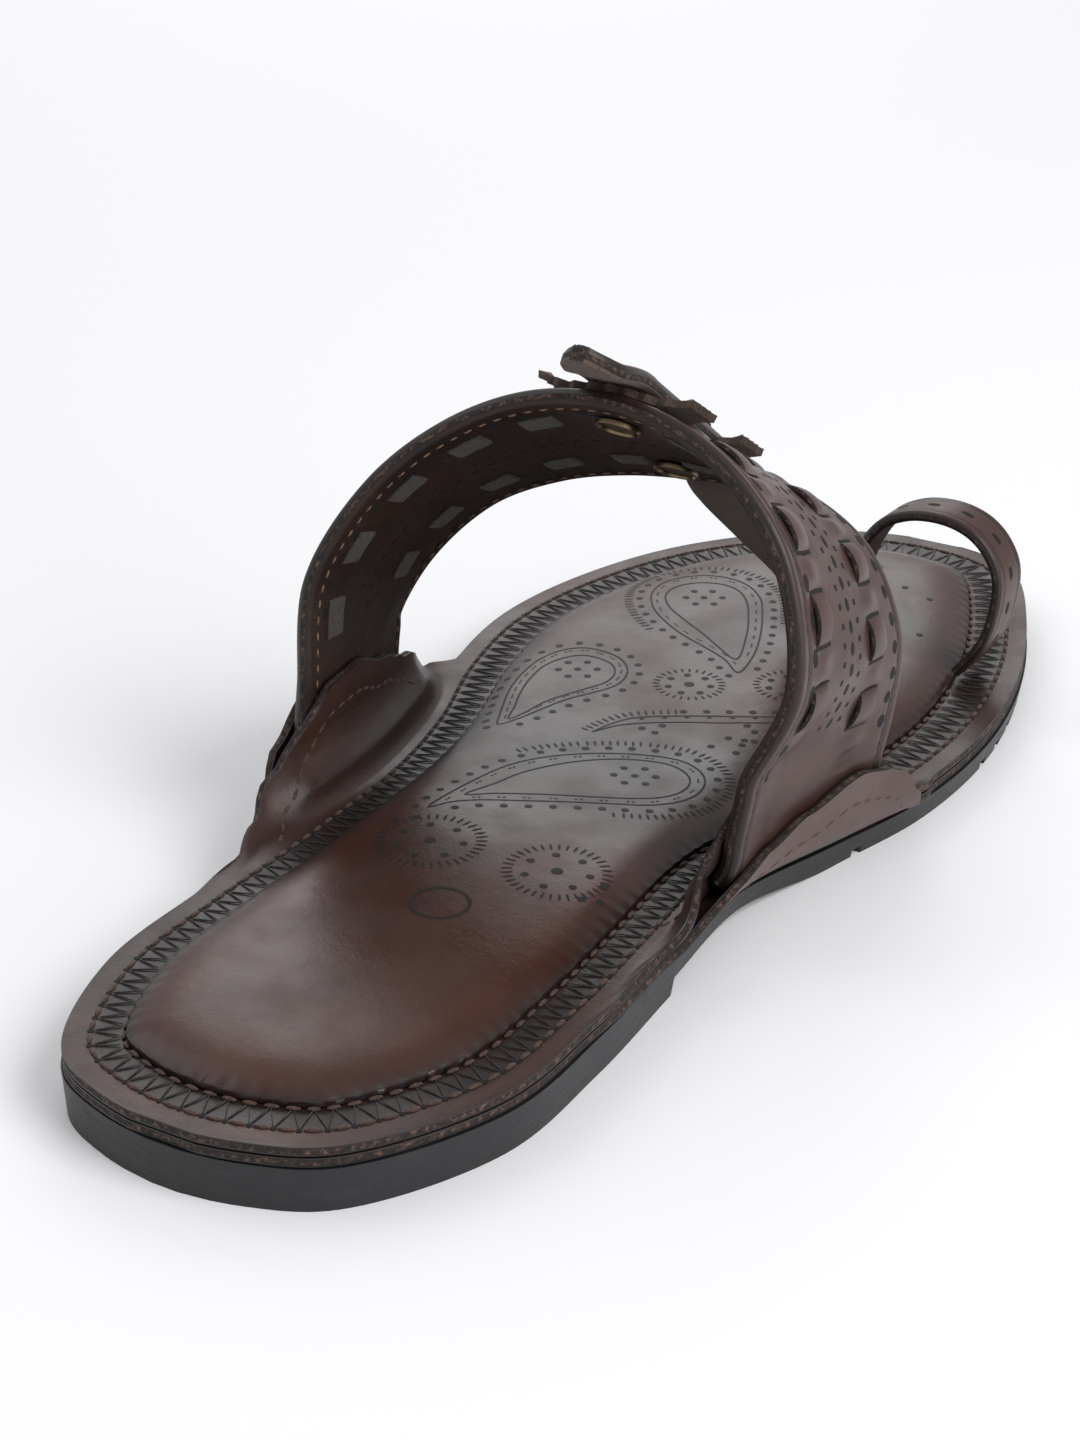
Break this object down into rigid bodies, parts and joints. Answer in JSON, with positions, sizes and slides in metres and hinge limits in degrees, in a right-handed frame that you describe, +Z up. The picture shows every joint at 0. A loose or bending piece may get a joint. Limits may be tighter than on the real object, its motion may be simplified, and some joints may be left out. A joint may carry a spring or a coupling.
{
  "type": "kolhapuri sandal",
  "caption": "Left flat leather sandal with padded footbed, broad laced instep strap between folded wings, riveted centre strap, big toe loop and ridged rubber sole.",
  "frame": {"origin": "on the floor, under the middle of the sandal's bounding box", "axes": "+Y from heel to toe, +Z up, +X to the medial (big toe) side of a left foot"},
  "size_m": [0.1145, 0.2869, 0.1069],
  "materials": {
    "sole_rubber": "matt, fine grain",
    "layer_leather": "dark brown, burnished edge",
    "cover_leather": "dark brown, satin",
    "pad_leather": "dark brown, soft sheen, stamped",
    "strap_leather": "dark brown, satin, tan lining",
    "trim_leather": "dark brown with paler cut edges",
    "rivet_brass": "aged, dull"
  },
  "bodies": {
    "root": {"outsole": "sole_rubber", "lower_leather": "layer_leather", "footbed_cover": "cover_leather", "padded_insole": "pad_leather", "upper": "strap_leather", "pinked_fringe_rear": "trim_leather", "pinked_fringe_front": "trim_leather", "rivet_rear": "rivet_brass", "rivet_front": "rivet_brass"}
  },
  "joints": []
}
